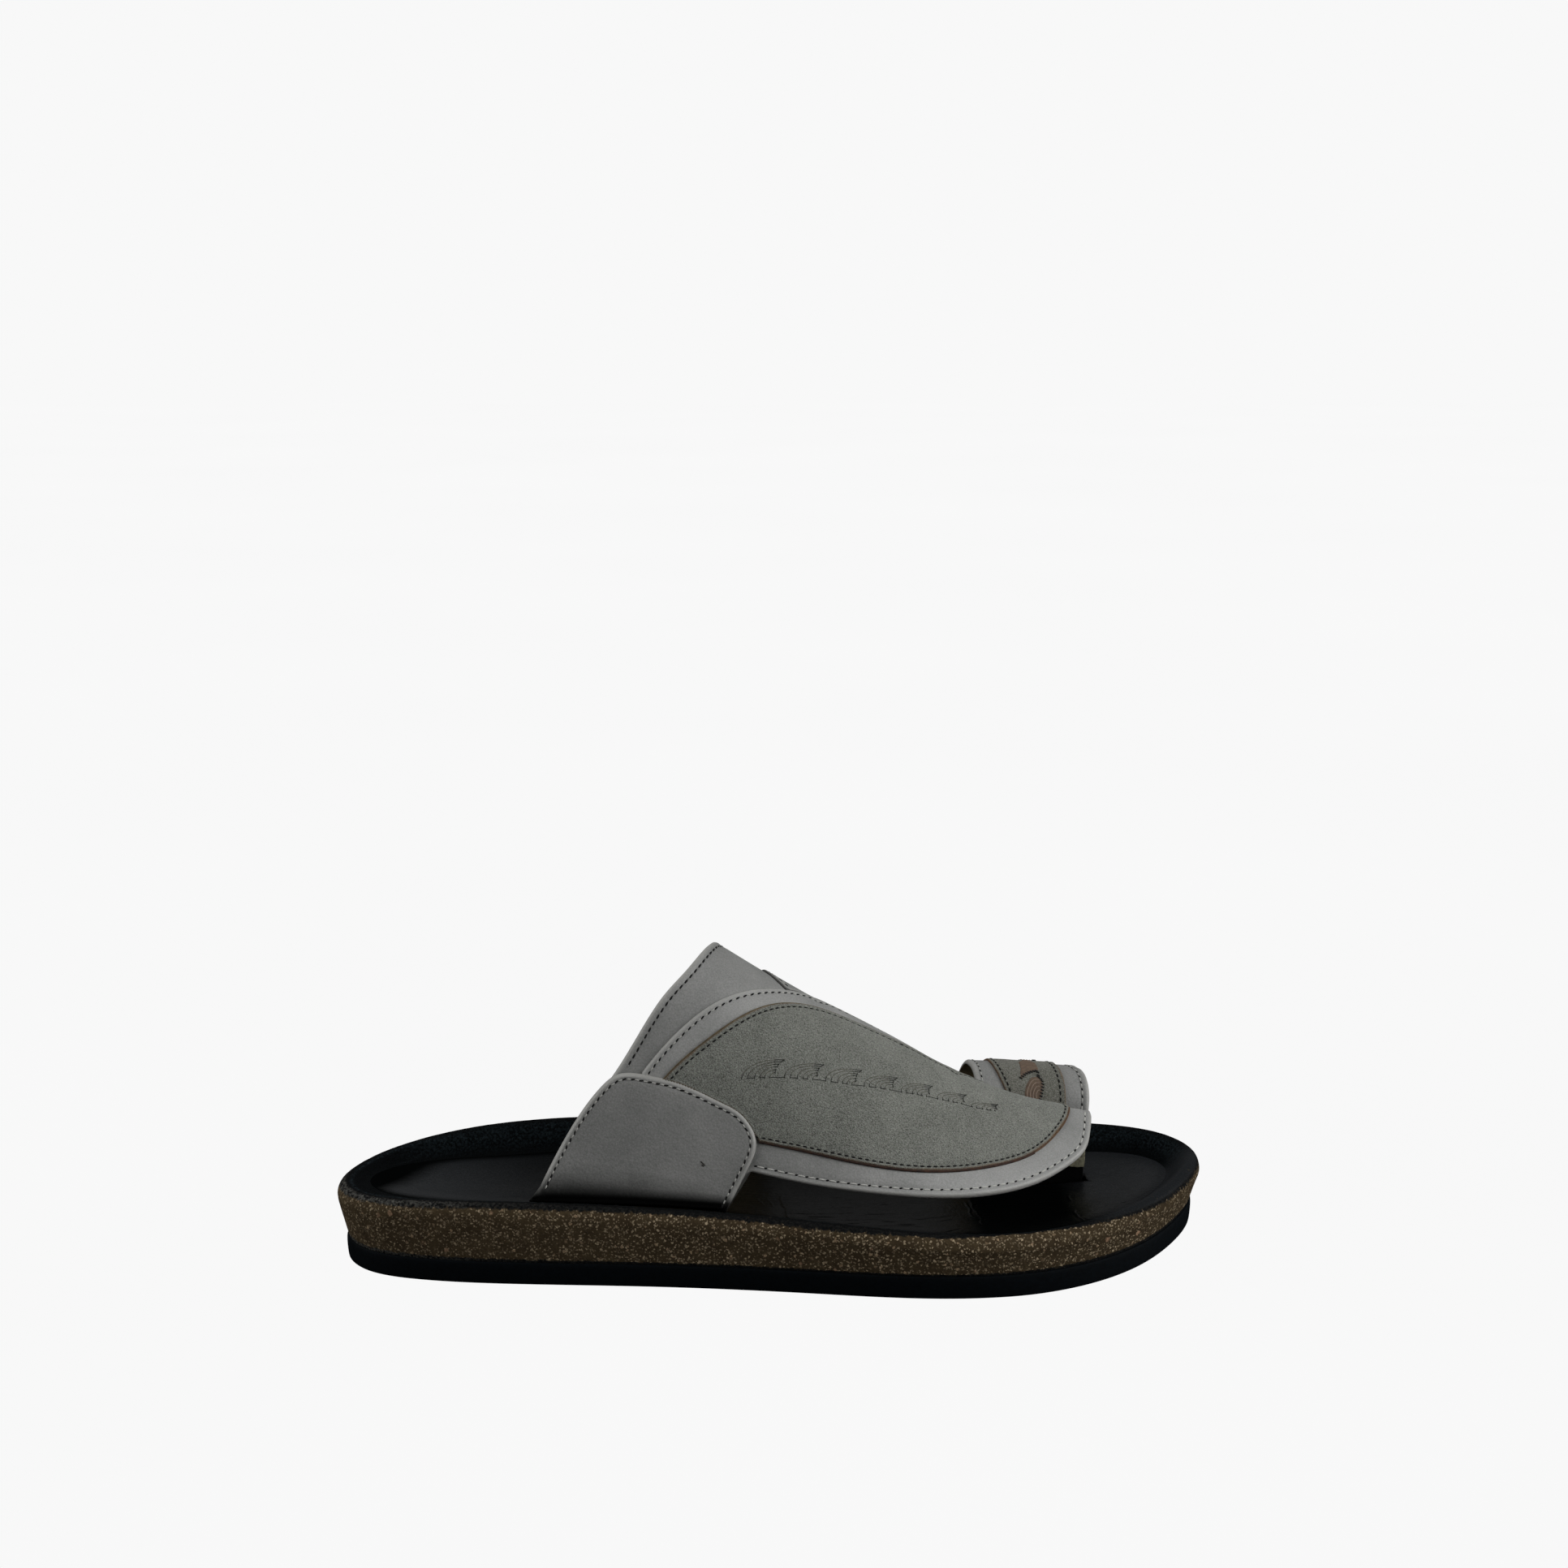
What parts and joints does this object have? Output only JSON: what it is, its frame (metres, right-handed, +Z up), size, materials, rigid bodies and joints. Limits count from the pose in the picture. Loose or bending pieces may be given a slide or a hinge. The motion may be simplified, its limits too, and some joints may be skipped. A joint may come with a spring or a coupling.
{
  "type": "arabic sandal",
  "caption": "Slip-on leather sandal for the right foot: wide instep band with a leaf shaped vamp, a toe post, a loop for the big toe and a cupped cork footbed.",
  "frame": {"origin": "on the floor, under the middle of the sole's length and width", "axes": "+X to the toe, +Y to the medial side, which is the wearer's left on this right shoe, +Z up"},
  "size_m": [0.2842, 0.1026, 0.1027],
  "materials": {
    "black_rubber": "matte, bluish black",
    "brown_cork": "matte cork compound with pale flecks",
    "black_leather": "smooth, slight sheen",
    "grey_leather": "smooth, satin",
    "grey_green_nubuck": "matte nap"
  },
  "bodies": {
    "root": {"outsole": "black_rubber", "midsole": "brown_cork", "insole": "black_leather", "upper": "grey_leather", "vamp_leaf": "grey_leather", "medial_wing": "grey_leather", "nubuck_panel": "grey_green_nubuck", "toe_loop_panel": "grey_green_nubuck", "lateral_tab": "grey_leather", "medial_tab": "grey_leather"}
  },
  "joints": []
}
